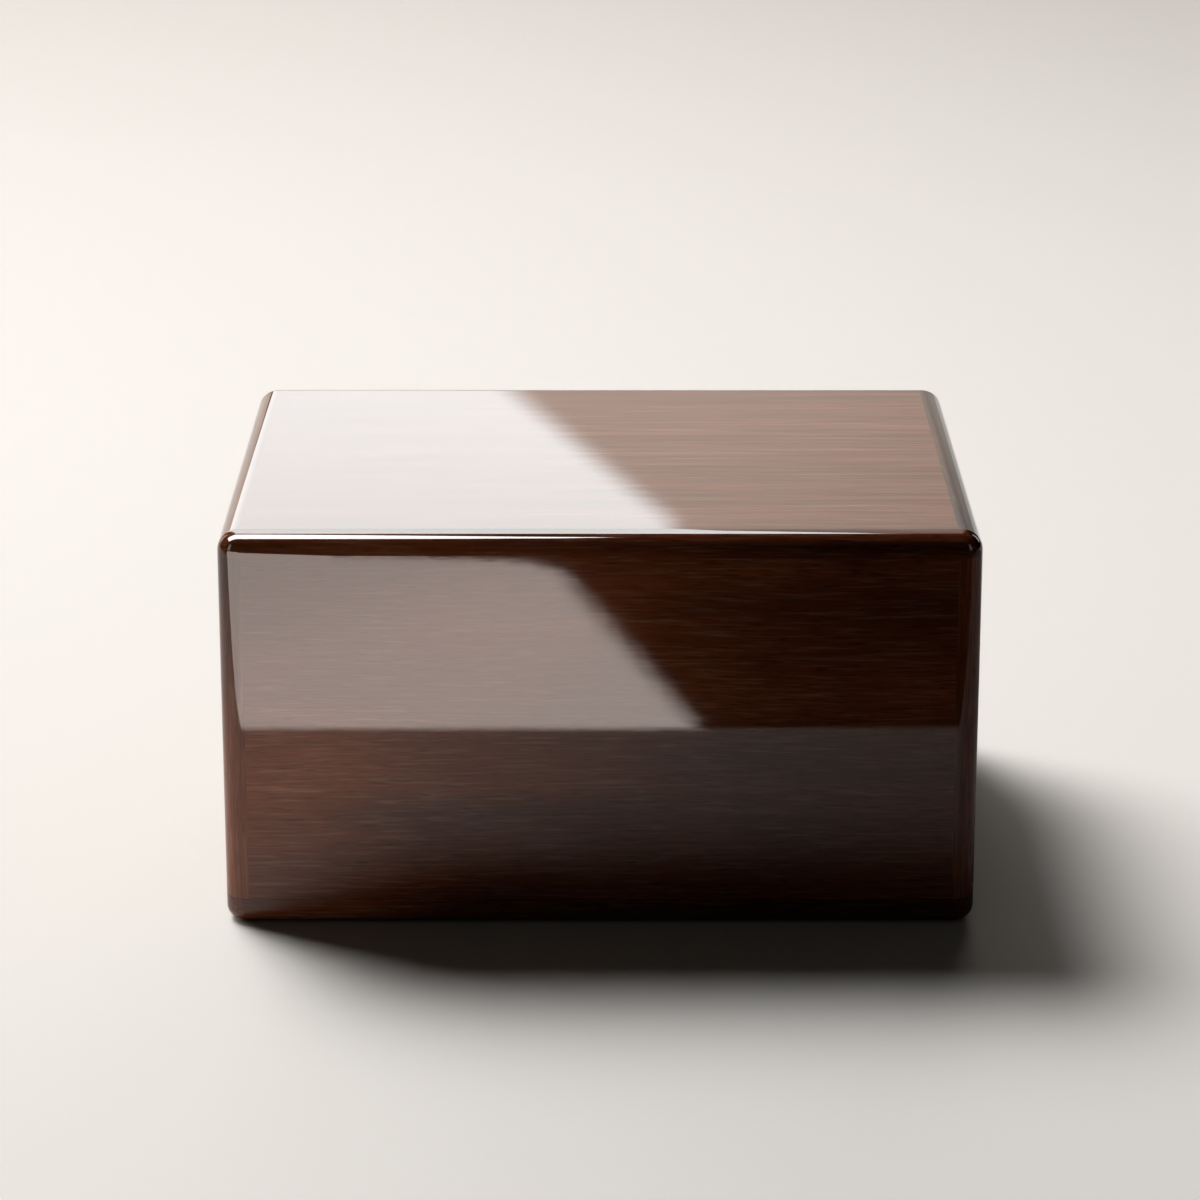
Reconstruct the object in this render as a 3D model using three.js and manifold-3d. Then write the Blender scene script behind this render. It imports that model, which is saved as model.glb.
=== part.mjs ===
// Cremation urn chest: a closed walnut box under gloss lacquer, filled from below through its base board.
// Five veneered panels stand between solid walnut edge strips, and the strips carry the rounded edges.
// Millimetres, +Z up. The origin is the centre of the underside, and the front faces -Y.
import * as THREE from "three";
import { ConvexGeometry } from "three/addons/geometries/ConvexGeometry.js";
import { RoundedBoxGeometry } from "three/addons/geometries/RoundedBoxGeometry.js";
import { mergeVertices } from "three/addons/utils/BufferGeometryUtils.js";
import Module from "manifold-3d";

// Chest
const CHEST_WIDTH = 280;
const CHEST_DEPTH = 214;
const CHEST_HEIGHT = 152;
const PANEL_THICKNESS = 16;

// Square strips along the upright and top edges, and the radius of their outer edge
const STRIP_SIDE = 9;
const EDGE_RADIUS = 8;
const MITRE_GAP = 0.3;

// Base board, with a smaller radius along its lower edge
const BASE_THICKNESS = 10;
const BASE_EDGE_RADIUS = 5.5;

// Countersunk screws that hold the base board up against the front and back panels, clear of its rounded edge
const SCREW_LENGTH = 30;
const SCREW_SHANK_RADIUS = 1.75;
const SCREW_HEAD_RADIUS = 3.6;
const SCREW_HEAD_RIM = 0.4;
const SCREW_POINT_LENGTH = 4;
const SCREW_SINK = 0.8;
const SCREW_CLEARANCE = 0.3;
const SCREW_END_DISTANCE = 35;
const SCREW_FACE_DISTANCE = 9.5;

// Facets in a quarter turn
const EDGE_FACETS = 10;
const BASE_EDGE_FACETS = 6;
const SCREW_FACETS_ROUND = 20;

// Places worked out from the sizes above
const HALF_WIDTH = CHEST_WIDTH / 2;
const HALF_DEPTH = CHEST_DEPTH / 2;
const PANEL_HALF_WIDTH = HALF_WIDTH - STRIP_SIDE;
const PANEL_HALF_DEPTH = HALF_DEPTH - STRIP_SIDE;
const PANEL_TOP = CHEST_HEIGHT - STRIP_SIDE;
const SCREW_X = HALF_WIDTH - SCREW_END_DISTANCE;
const SCREW_Y = HALF_DEPTH - SCREW_FACE_DISTANCE;

const wasm = await Module();
wasm.setup();

// Materials
function finish(color, roughness, metalness) {
  return new THREE.MeshStandardMaterial({ color, roughness, metalness });
}

const VENEER = finish(0x4a2a19, 0.12, 0);
const EDGE_WOOD = finish(0x3a1f13, 0.12, 0);
const BASE_WOOD = finish(0x351d12, 0.3, 0);
const SCREW_BRASS = finish(0xb08d4f, 0.35, 1);

// Closed meshes to solids and back, for cutting
function toSolid(geometry) {
  const bare = geometry.clone();
  bare.deleteAttribute("normal");
  bare.deleteAttribute("uv");
  const merged = mergeVertices(bare);
  const vertProperties = Float32Array.from(merged.getAttribute("position").array);
  const triVerts = Uint32Array.from(merged.getIndex().array);
  return new wasm.Manifold(new wasm.Mesh({ numProp: 3, vertProperties, triVerts }));
}

function toGeometry(solid) {
  const { vertProperties, triVerts } = solid.getMesh();
  const geometry = new THREE.BufferGeometry();
  geometry.setAttribute("position", new THREE.BufferAttribute(vertProperties, 3));
  geometry.setIndex(new THREE.BufferAttribute(triVerts, 1));
  geometry.computeVertexNormals();
  return geometry;
}

// An upright box between two opposite corners
function boxBetween(low, high) {
  const size = new THREE.Vector3().subVectors(high, low);
  const middle = new THREE.Vector3().addVectors(low, high).multiplyScalar(0.5);
  return new THREE.BoxGeometry(size.x, size.y, size.z).translate(middle.x, middle.y, middle.z);
}

// A solid turned about the Z axis from (radius, height) points
function turned(points) {
  const profile = points.map(([radius, height]) => new THREE.Vector2(radius, height));
  return new THREE.LatheGeometry(profile, SCREW_FACETS_ROUND).rotateX(Math.PI / 2);
}

// The chest's outer form, with its upright and top edges rounded alike
function roundedForm() {
  const form = new RoundedBoxGeometry(CHEST_WIDTH, CHEST_DEPTH, CHEST_HEIGHT, EDGE_FACETS / 2, EDGE_RADIUS);
  return toSolid(form.translate(0, 0, CHEST_HEIGHT / 2));
}

// A panel is square-edged as deep as the strips. Behind them its edges slope in at 45 degrees to meet the
// neighbouring panels, except along a square lower edge that stands on the base board.
// toChest places a point given by its distance across, its distance up and its depth behind the face.
function panelGeometry(halfWidth, low, high, squareLowEdge, toChest) {
  const mitre = PANEL_THICKNESS - STRIP_SIDE;
  const layers = [
    { depth: 0, inset: 0 },
    { depth: STRIP_SIDE, inset: 0 },
    { depth: PANEL_THICKNESS, inset: mitre },
  ];
  const corners = [];
  for (const { depth, inset } of layers) {
    const lowEdge = squareLowEdge ? low : low + inset;
    for (const across of [inset - halfWidth, halfWidth - inset]) {
      corners.push(toChest(across, lowEdge, depth));
      corners.push(toChest(across, high - inset, depth));
    }
  }
  return new ConvexGeometry(corners);
}

function topPanelGeometry() {
  const toChest = (across, up, depth) => new THREE.Vector3(across, up, CHEST_HEIGHT - depth);
  return panelGeometry(PANEL_HALF_WIDTH, -PANEL_HALF_DEPTH, PANEL_HALF_DEPTH, false, toChest);
}

function longPanelGeometry(side) {
  const toChest = (across, up, depth) => new THREE.Vector3(across, side * (HALF_DEPTH - depth), up);
  return panelGeometry(PANEL_HALF_WIDTH, BASE_THICKNESS, PANEL_TOP, true, toChest);
}

function endPanelGeometry(side) {
  const toChest = (across, up, depth) => new THREE.Vector3(side * (HALF_WIDTH - depth), across, up);
  return panelGeometry(PANEL_HALF_DEPTH, BASE_THICKNESS, PANEL_TOP, true, toChest);
}

// An upright corner strip, from the base board to the strips along the top
function cornerStripGeometry(form, sideX, sideY) {
  const outer = new THREE.Vector2(sideX * HALF_WIDTH, sideY * HALF_DEPTH);
  const inner = new THREE.Vector2(sideX * PANEL_HALF_WIDTH, sideY * PANEL_HALF_DEPTH);
  const low = new THREE.Vector3(Math.min(outer.x, inner.x), Math.min(outer.y, inner.y), BASE_THICKNESS);
  const high = new THREE.Vector3(Math.max(outer.x, inner.x), Math.max(outer.y, inner.y), PANEL_TOP);
  return toGeometry(form.intersect(toSolid(boxBetween(low, high))));
}

// A strip along one top edge, mitred at both ends so that the four frame the top panel.
// halfLength runs along the edge, reach is the distance from the chest's middle to the edge.
function topStripGeometry(form, halfLength, reach, turn) {
  const outline = new THREE.Shape([
    new THREE.Vector2(MITRE_GAP - halfLength, -reach),
    new THREE.Vector2(halfLength - MITRE_GAP, -reach),
    new THREE.Vector2(halfLength - STRIP_SIDE - MITRE_GAP, STRIP_SIDE - reach),
    new THREE.Vector2(STRIP_SIDE + MITRE_GAP - halfLength, STRIP_SIDE - reach),
  ]);
  const blank = new THREE.ExtrudeGeometry(outline, { depth: STRIP_SIDE, bevelEnabled: false });
  blank.rotateZ(turn).translate(0, 0, PANEL_TOP);
  return toGeometry(form.intersect(toSolid(blank)));
}

// Screws and the holes they go in
function screwGeometry() {
  const cone = SCREW_HEAD_RADIUS - SCREW_SHANK_RADIUS;
  return turned([
    [0, 0],
    [SCREW_HEAD_RADIUS, 0],
    [SCREW_HEAD_RADIUS, SCREW_HEAD_RIM],
    [SCREW_SHANK_RADIUS, SCREW_HEAD_RIM + cone],
    [SCREW_SHANK_RADIUS, SCREW_LENGTH - SCREW_POINT_LENGTH],
    [0, SCREW_LENGTH],
  ]);
}

function screwHoleSolid(x, y) {
  const mouth = SCREW_HEAD_RADIUS + SCREW_CLEARANCE;
  const bore = SCREW_SHANK_RADIUS + SCREW_CLEARANCE;
  const seat = SCREW_SINK + SCREW_HEAD_RIM;
  const end = SCREW_SINK + SCREW_LENGTH + SCREW_CLEARANCE;
  const hole = turned([
    [0, -SCREW_SINK],
    [mouth, -SCREW_SINK],
    [mouth, seat],
    [bore, seat + mouth - bore],
    [bore, end],
    [0, end],
  ]);
  return toSolid(hole.translate(x, y, 0));
}

function drilled(geometry, holes) {
  let solid = toSolid(geometry);
  for (const hole of holes) {
    solid = solid.subtract(hole);
  }
  return toGeometry(solid);
}

// The base board is rounded along its lower edge and square along its upper one
function baseBoardGeometry() {
  const arcX = HALF_WIDTH - EDGE_RADIUS;
  const arcY = HALF_DEPTH - EDGE_RADIUS;
  const quarter = Math.PI / 2;
  const outline = new THREE.Shape();
  outline.absarc(arcX, arcY, EDGE_RADIUS, 0, quarter);
  outline.absarc(-arcX, arcY, EDGE_RADIUS, quarter, 2 * quarter);
  outline.absarc(-arcX, -arcY, EDGE_RADIUS, 2 * quarter, 3 * quarter);
  outline.absarc(arcX, -arcY, EDGE_RADIUS, 3 * quarter, 4 * quarter);
  const blank = new THREE.ExtrudeGeometry(outline, {
    depth: BASE_THICKNESS,
    curveSegments: EDGE_FACETS / 2,
    bevelThickness: BASE_EDGE_RADIUS,
    bevelSize: BASE_EDGE_RADIUS,
    bevelOffset: -BASE_EDGE_RADIUS,
    bevelSegments: BASE_EDGE_FACETS,
  });
  blank.translate(0, 0, BASE_EDGE_RADIUS);
  const low = new THREE.Vector3(-CHEST_WIDTH, -CHEST_DEPTH, -BASE_THICKNESS);
  const high = new THREE.Vector3(CHEST_WIDTH, CHEST_DEPTH, BASE_THICKNESS);
  return toGeometry(toSolid(blank).intersect(toSolid(boxBetween(low, high))));
}

// Assembly
const chest = new THREE.Group();

function addPiece(name, geometry, material) {
  const piece = new THREE.Mesh(geometry, material);
  piece.name = name;
  chest.add(piece);
  return piece;
}

const form = roundedForm();
const sidesX = { left: -1, right: 1 };
const sidesY = { front: -1, back: 1 };
const allHoles = [];

addPiece("top_panel", topPanelGeometry(), VENEER);

for (const [along, sideY] of Object.entries(sidesY)) {
  const panelHoles = [];
  for (const [across, sideX] of Object.entries(sidesX)) {
    const screwX = sideX * SCREW_X;
    const screwY = sideY * SCREW_Y;
    panelHoles.push(screwHoleSolid(screwX, screwY));
    const screw = addPiece(`base_screw_${along}_${across}`, screwGeometry(), SCREW_BRASS);
    screw.position.set(screwX, screwY, SCREW_SINK);
    addPiece(`corner_strip_${along}_${across}`, cornerStripGeometry(form, sideX, sideY), EDGE_WOOD);
  }
  allHoles.push(...panelHoles);
  addPiece(`${along}_panel`, drilled(longPanelGeometry(sideY), panelHoles), VENEER);
  const turn = sideY < 0 ? 0 : Math.PI;
  addPiece(`top_strip_${along}`, topStripGeometry(form, HALF_WIDTH, HALF_DEPTH, turn), EDGE_WOOD);
}

for (const [across, sideX] of Object.entries(sidesX)) {
  addPiece(`${across}_end_panel`, endPanelGeometry(sideX), VENEER);
  const turn = sideX * Math.PI / 2;
  addPiece(`top_strip_${across}`, topStripGeometry(form, HALF_DEPTH, HALF_WIDTH, turn), EDGE_WOOD);
}

addPiece("base_board", drilled(baseBoardGeometry(), allHoles), BASE_WOOD);

export default chest;
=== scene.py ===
import math

import bmesh
import bpy
from bpy.props import FloatProperty, FloatVectorProperty, IntProperty, PointerProperty
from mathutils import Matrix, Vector


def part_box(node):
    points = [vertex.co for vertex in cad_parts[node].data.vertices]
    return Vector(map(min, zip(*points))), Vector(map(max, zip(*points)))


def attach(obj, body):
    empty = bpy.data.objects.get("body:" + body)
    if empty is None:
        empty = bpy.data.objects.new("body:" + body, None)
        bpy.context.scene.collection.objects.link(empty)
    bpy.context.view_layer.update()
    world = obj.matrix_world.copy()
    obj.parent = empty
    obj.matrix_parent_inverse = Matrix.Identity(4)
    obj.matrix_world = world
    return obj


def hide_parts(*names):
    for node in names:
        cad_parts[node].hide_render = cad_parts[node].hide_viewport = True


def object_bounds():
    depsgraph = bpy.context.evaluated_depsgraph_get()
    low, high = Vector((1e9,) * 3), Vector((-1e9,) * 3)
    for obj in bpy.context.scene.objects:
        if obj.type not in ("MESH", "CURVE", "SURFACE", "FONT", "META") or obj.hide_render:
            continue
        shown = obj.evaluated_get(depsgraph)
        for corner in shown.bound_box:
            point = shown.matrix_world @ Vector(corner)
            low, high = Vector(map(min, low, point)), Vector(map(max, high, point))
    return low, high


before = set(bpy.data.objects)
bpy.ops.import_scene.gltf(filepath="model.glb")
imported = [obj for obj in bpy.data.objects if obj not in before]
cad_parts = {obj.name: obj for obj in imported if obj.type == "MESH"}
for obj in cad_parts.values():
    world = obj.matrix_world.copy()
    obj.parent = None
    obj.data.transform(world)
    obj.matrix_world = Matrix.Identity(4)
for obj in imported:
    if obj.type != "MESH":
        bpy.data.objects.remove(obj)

bl_info = {
    "name": "Cremation urn chest",
    "version": (1, 0, 0),
    "blender": (4, 5, 0),
    "location": "View3D > Sidebar > Urn chest",
    "description": "Makes a lacquered walnut urn chest with its strips, base board, screws and studio",
    "category": "Add Mesh",
}

# Metres, +Z up. The origin is the centre of the underside, and the front faces -Y.
CAD_LOW, CAD_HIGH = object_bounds()
MM = 0.001
X, Y, Z = Vector((1, 0, 0)), Vector((0, 1, 0)), Vector((0, 0, 1))

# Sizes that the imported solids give
CHEST = CAD_HIGH - CAD_LOW
HALF_WIDTH, HALF_DEPTH, HEIGHT = CHEST.x / 2, CHEST.y / 2, CHEST.z


def span(node):
    """Size of a solid's box."""
    low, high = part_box(node)
    return high - low


STRIP_SIDE = span("corner_strip_front_left").x
PANEL_THICKNESS = span("front_panel").y
BASE_THICKNESS = span("base_board").z
SCREW_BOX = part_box("base_screw_front_right")
SCREW_HEAD_RADIUS = span("base_screw_front_right").x / 2
SCREW_LENGTH = span("base_screw_front_right").z
SCREW_SINK = SCREW_BOX[0].z
SCREW_X = (SCREW_BOX[0].x + SCREW_BOX[1].x) / 2
SCREW_Y = -(SCREW_BOX[0].y + SCREW_BOX[1].y) / 2

PANEL_HALF_WIDTH = HALF_WIDTH - STRIP_SIDE
PANEL_HALF_DEPTH = HALF_DEPTH - STRIP_SIDE
PANEL_TOP = HEIGHT - STRIP_SIDE

# Points this near to a plane lie on it
CUT_TOLERANCE = 1e-7

# A face further than this share of the edge radius from the core is outer skin
SKIN_SHARE = 0.98

# What like properties share
LENGTH = {"min": 0.0, "unit": "LENGTH"}
PLACE = {"size": 3, "subtype": "TRANSLATION", "unit": "LENGTH"}
WIDTH_AND_HEIGHT = {"size": 2, "unit": "LENGTH"}
COLOUR = {"size": 3, "subtype": "COLOR", "min": 0.0, "max": 1.0}
SHARE = {"min": 0.0, "max": 1.0}


class ChestSizes(bpy.types.PropertyGroup):
    """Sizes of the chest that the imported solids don't give by their boxes."""

    edge_radius: FloatProperty(
        name="Edge radius", description="Radius of the upright and top edges",
        default=8 * MM, min=1 * MM, unit="LENGTH",
    )
    base_edge_radius: FloatProperty(
        name="Base edge radius", description="Radius of the base board's lower edge",
        default=5.5 * MM, min=1 * MM, unit="LENGTH",
    )
    edge_facets: IntProperty(
        name="Edge facets", description="Facets in an eighth of a turn of a rounded edge",
        default=10, min=2,
    )
    base_seam: FloatProperty(
        name="Base seam", description="Gap between the base board and the boards above it",
        default=0.12 * MM, **LENGTH,
    )
    screw_shank_radius: FloatProperty(
        name="Screw shank radius", description="Radius of a base screw below its head",
        default=1.75 * MM, **LENGTH,
    )
    screw_head_rim: FloatProperty(
        name="Screw head rim", description="Height of the straight rim of a screw's head",
        default=0.4 * MM, **LENGTH,
    )
    screw_point_length: FloatProperty(
        name="Screw point length", description="Length of a screw's tapered point",
        default=4 * MM, **LENGTH,
    )
    screw_clearance: FloatProperty(
        name="Screw clearance", description="Room between a screw and its hole", default=0.3 * MM, **LENGTH,
    )
    recess_length: FloatProperty(
        name="Recess length", description="Length of each arm pair of the cross recess in a screw's head",
        default=4.2 * MM, **LENGTH,
    )
    recess_width: FloatProperty(
        name="Recess width", description="Width of the cross recess in a screw's head",
        default=0.9 * MM, **LENGTH,
    )
    recess_depth: FloatProperty(
        name="Recess depth", description="Depth of the cross recess in a screw's head",
        default=1.3 * MM, **LENGTH,
    )


class ChestFinish(bpy.types.PropertyGroup):
    """Colours of the walnut and the screws, and the lacquer over the walnut."""

    dark_grain: FloatVectorProperty(
        name="Dark grain", description="Colour of the late wood and the dark streaks",
        default=(0.018, 0.003, 0.001), **COLOUR,
    )
    body: FloatVectorProperty(
        name="Body", description="Colour of the wood between the streaks",
        default=(0.080, 0.0205, 0.0065), **COLOUR,
    )
    light_grain: FloatVectorProperty(
        name="Light grain", description="Colour of the lightest early wood",
        default=(0.171, 0.056, 0.0195), **COLOUR,
    )
    pale_lines: FloatVectorProperty(
        name="Pale lines", description="Colour that the fine pale lines add to the wood",
        default=(0.120, 0.096, 0.078), **COLOUR,
    )
    pore_depth: FloatProperty(
        name="Pore depth", description="How much darker the pores are than the wood round them",
        default=0.35, **SHARE,
    )
    lacquer_roughness: FloatProperty(
        name="Lacquer roughness", description="Roughness of the polished lacquer", default=0.03, **SHARE,
    )
    ripple_height: FloatProperty(
        name="Ripple height", description="Height of the ripple that the grain leaves in the lacquer",
        default=0.006 * MM, **LENGTH,
    )
    dark_brass: FloatVectorProperty(
        name="Dark brass", description="Colour of the darker flecks in the screws",
        default=(0.42, 0.27, 0.09), **COLOUR,
    )
    light_brass: FloatVectorProperty(
        name="Light brass", description="Colour of the lighter flecks in the screws",
        default=(0.66, 0.46, 0.18), **COLOUR,
    )


class StudioSetup(bpy.types.PropertyGroup):
    """Surround, floor and camera."""

    surround: FloatProperty(
        name="Surround", description="Brightness of the even light from all round", default=0.043, min=0.0,
    )
    surround_colour: FloatVectorProperty(
        name="Surround colour", description="Colour of the even light from all round",
        default=(0.80, 0.69, 0.59), **COLOUR,
    )
    floor_colour: FloatVectorProperty(
        name="Floor colour", description="Colour of the pale floor", default=(0.41, 0.417, 0.402), **COLOUR,
    )
    camera_place: FloatVectorProperty(
        name="Camera place", description="Where the camera stands, square on to the front",
        default=(0.0, -1.5689, 0.590), **PLACE,
    )
    camera_fall: FloatProperty(
        name="Camera fall", description="Angle at which the camera looks down",
        default=math.radians(17.567), unit="ROTATION",
    )
    camera_lens: FloatProperty(
        name="Camera lens", description="Focal length of the camera, in millimetres",
        default=126.0, unit="CAMERA",
    )


def lamp_values(lamp, power, place, aim, size, spread=180.0, slant=0.0, colour=(1.0, 1.0, 1.0)):
    """Properties of one lamp. Its angles are given in degrees."""
    return {
        "power": FloatProperty(
            name="Power", description=f"Power of {lamp}", default=power, min=0.0, unit="POWER",
        ),
        "place": FloatVectorProperty(name="Place", description=f"Centre of {lamp}", default=place, **PLACE),
        "aim": FloatVectorProperty(name="Aim", description=f"Where {lamp} points", default=aim, **PLACE),
        "size": FloatVectorProperty(
            name="Size", description=f"Width and height of {lamp}", default=size, **WIDTH_AND_HEIGHT,
        ),
        "spread": FloatProperty(
            name="Spread", description=f"Angle that {lamp} spreads over",
            default=math.radians(spread), unit="ROTATION",
        ),
        "slant": FloatProperty(
            name="Slant", description=f"Angle at which {lamp} rises to its right",
            default=math.radians(slant), unit="ROTATION",
        ),
        "colour": FloatVectorProperty(
            name="Colour", description=f"Colour of {lamp}", default=colour, **COLOUR,
        ),
    }


class KeyLight(bpy.types.PropertyGroup):
    """Large round light behind the chest and to its left."""

    __annotations__ = lamp_values(
        "the large round light", power=78.0, place=(-2.41, 2.98, 4.76), aim=(-0.51, 0.13, 0.0),
        size=(3.49, 3.49), spread=44.0, colour=(1.0, 0.945, 0.935),
    )


class RimLight(bpy.types.PropertyGroup):
    """Low, wide panel of light far behind the chest."""

    __annotations__ = lamp_values(
        "the low, wide panel of light", power=1650.0, place=(-2.96, 6.75, 1.78), aim=(0.0, 0.0, 0.0),
        size=(12.1, 2.7), colour=(1.0, 0.91, 0.86),
    )


class SlantedFill(bpy.types.PropertyGroup):
    """Narrow slanted light on the left of the front's lower half."""

    __annotations__ = lamp_values(
        "the narrow slanted light", power=0.058, place=(-0.14, -0.507, 0.063), aim=(-0.14, 0.493, 0.063),
        size=(0.26, 0.01), spread=26.0, slant=26.0,
    )


class UpperFill(bpy.types.PropertyGroup):
    """Faint round light on the front's upper half."""

    __annotations__ = lamp_values(
        "the faint round light", power=0.006, place=(0.0, -0.507, 0.11), aim=(0.0, 0.493, 0.11),
        size=(0.06, 0.06), spread=25.0,
    )


class LeftFill(bpy.types.PropertyGroup):
    """Long low light on the left end."""

    __annotations__ = lamp_values(
        "the long low light", power=0.32, place=(-0.76, 0.10, 0.045), aim=(-0.14, -0.05, 0.045),
        size=(0.5, 0.02), spread=18.0,
    )


# Small helpers for node trees


def feed(tree, node, inputs):
    """Sets a node's inputs, each to a value or to another node's output."""
    for key, value in inputs.items():
        if isinstance(value, bpy.types.NodeSocket):
            tree.links.new(value, node.inputs[key])
        else:
            node.inputs[key].default_value = value


def add_node(tree, kind, inputs=None, **settings):
    """Adds a node with its settings, and feeds its inputs."""
    node = tree.nodes.new(kind)
    for name, value in settings.items():
        setattr(node, name, value)
    feed(tree, node, inputs or {})
    return node


class NodeMaths:
    """Number and vector sums in one node tree, each returning the output of its node."""

    def __init__(self, tree):
        self.tree = tree

    def number(self, operation, *values):
        inputs = dict(enumerate(values))
        return add_node(self.tree, "ShaderNodeMath", inputs, operation=operation).outputs[0]

    def vector(self, operation, *values):
        inputs = dict(enumerate(values))
        return add_node(self.tree, "ShaderNodeVectorMath", inputs, operation=operation).outputs[0]

    def scaled(self, vector, factor):
        inputs = {"Vector": vector, "Scale": factor}
        return add_node(self.tree, "ShaderNodeVectorMath", inputs, operation="SCALE").outputs[0]

    def split(self, vector):
        return add_node(self.tree, "ShaderNodeSeparateXYZ", {0: vector}).outputs

    def joined(self, x, y, z):
        return add_node(self.tree, "ShaderNodeCombineXYZ", {0: x, 1: y, 2: z}).outputs[0]


def new_geometry_tree(name, sockets):
    """A Geometry Nodes tree with named inputs and one geometry output."""
    tree = bpy.data.node_groups.new(name, "GeometryNodeTree")
    for label, kind in sockets.items():
        tree.interface.new_socket(name=label, in_out="INPUT", socket_type=kind)
    tree.interface.new_socket(name="Geometry", in_out="OUTPUT", socket_type="NodeSocketGeometry")
    given = tree.nodes.new("NodeGroupInput").outputs
    return tree, given


def moved(tree, geometry, inputs):
    """Geometry whose points are put at a Position or moved by an Offset."""
    return add_node(tree, "GeometryNodeSetPosition", {"Geometry": geometry, **inputs}).outputs[0]


def end_geometry_tree(tree, geometry, material):
    """Ends a tree in realized geometry with its material."""
    realized = add_node(tree, "GeometryNodeRealizeInstances", {"Geometry": geometry}).outputs[0]
    inputs = {"Geometry": realized, "Material": material}
    dressed = add_node(tree, "GeometryNodeSetMaterial", inputs).outputs[0]
    add_node(tree, "NodeGroupOutput", {"Geometry": dressed})


def evaluated_mesh(holder):
    """Plain mesh of an object with its modifiers worked out. The holder is removed."""
    depsgraph = bpy.context.evaluated_depsgraph_get()
    mesh = bpy.data.meshes.new_from_object(holder.evaluated_get(depsgraph))
    holder.modifiers.clear()
    bpy.data.objects.remove(holder)
    return mesh


def linked_object(name, data):
    """A new object in the scene."""
    made = bpy.data.objects.new(name, data)
    bpy.context.scene.collection.objects.link(made)
    return made


def mesh_from_tree(tree, values):
    """Runs a Geometry Nodes tree with named values and returns its plain mesh."""
    holder = linked_object(tree.name, bpy.data.meshes.new(tree.name))
    modifier = holder.modifiers.new(tree.name, "NODES")
    modifier.node_group = tree
    for socket in tree.interface.items_tree:
        if socket.in_out == "INPUT":
            modifier[socket.identifier] = values[socket.name]
    mesh = evaluated_mesh(holder)
    mesh.materials.clear()
    mesh.materials.append(values["Material"])
    return mesh


# The rounded form that the boards are cut from


def rounded_form_tree():
    """A box with rounded edges: each point of a divided cube moves out from the core in its own way."""
    tree, given = new_geometry_tree(
        "Rounded form",
        {
            "Size": "NodeSocketVector",
            "Plan radius": "NodeSocketFloat",
            "Edge radius": "NodeSocketFloat",
            "Facets": "NodeSocketInt",
            "Material": "NodeSocketMaterial",
        },
    )
    maths = NodeMaths(tree)
    steps = maths.number("MULTIPLY_ADD", given["Facets"], 2.0, 1.0)
    count = maths.number("ADD", steps, 1.0)
    cube_inputs = {"Size": (2, 2, 2), "Vertices X": count, "Vertices Y": count, "Vertices Z": count}
    cube = add_node(tree, "GeometryNodeMeshCube", cube_inputs).outputs["Mesh"]
    point = add_node(tree, "GeometryNodeInputPosition").outputs[0]
    side = maths.vector("SIGN", point)
    flat_share = maths.number("DIVIDE", 1.0, steps)
    from_flat = maths.vector("SUBTRACT", point, maths.scaled(side, flat_share))
    way = maths.vector("NORMALIZE", from_flat)
    way_x, way_y, _ = maths.split(way)
    plan_way = maths.vector("NORMALIZE", maths.joined(way_x, way_y, 0.0))

    size_x, size_y, size_z = maths.split(given["Size"])
    half_z = maths.number("MULTIPLY", size_z, 0.5)
    core = maths.joined(
        maths.number("SUBTRACT", maths.number("MULTIPLY", size_x, 0.5), given["Plan radius"]),
        maths.number("SUBTRACT", maths.number("MULTIPLY", size_y, 0.5), given["Plan radius"]),
        maths.number("SUBTRACT", half_z, given["Edge radius"]),
    )
    plan_extra = maths.number("SUBTRACT", given["Plan radius"], given["Edge radius"])
    place = maths.vector("MULTIPLY", side, core)
    place = maths.vector("ADD", place, maths.scaled(plan_way, plan_extra))
    place = maths.vector("ADD", place, maths.scaled(way, given["Edge radius"]))
    place = maths.vector("ADD", place, maths.joined(0.0, 0.0, half_z))
    end_geometry_tree(tree, moved(tree, cube, {"Position": place}), given["Material"])
    return tree


class RoundedForm:
    """A rounded box standing at the origin, and the true direction of its skin."""

    def __init__(self, height, plan_radius, edge_radius, facets):
        self.height = height
        self.plan_radius = plan_radius
        self.edge_radius = edge_radius
        self.facets = facets

    def mesh(self, material):
        """The form as a mesh. Its tree is made once for all boards."""
        values = {
            "Size": (2 * HALF_WIDTH, 2 * HALF_DEPTH, self.height),
            "Plan radius": self.plan_radius,
            "Edge radius": self.edge_radius,
            "Facets": self.facets,
            "Material": material,
        }
        tree = bpy.data.node_groups.get("Rounded form") or rounded_form_tree()
        return mesh_from_tree(tree, values)

    def outward(self, point):
        """Way from the core to a point: a skin point is one edge radius away."""
        reach_x = HALF_WIDTH - self.plan_radius
        reach_y = HALF_DEPTH - self.plan_radius
        core = Vector((
            max(-reach_x, min(reach_x, point.x)),
            max(-reach_y, min(reach_y, point.y)),
            max(self.edge_radius, min(self.height - self.edge_radius, point.z)),
        ))
        plan = Vector((point.x - core.x, point.y - core.y, 0))
        plan_extra = self.plan_radius - self.edge_radius
        if plan_extra > 0 and plan.length > 0:
            core += plan * min(1, plan_extra / plan.length)
        return point - core

    def shade(self, mesh):
        """Shades the skin by its true direction, and every cut face flat."""
        mesh.shade_smooth()
        normals = []
        for polygon in mesh.polygons:
            on_skin = self.outward(polygon.center).length > SKIN_SHARE * self.edge_radius
            for index in polygon.vertices:
                way = self.outward(mesh.vertices[index].co) if on_skin else polygon.normal
                normals.append(way.normalized())
        mesh.normals_split_custom_set(normals)


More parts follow.
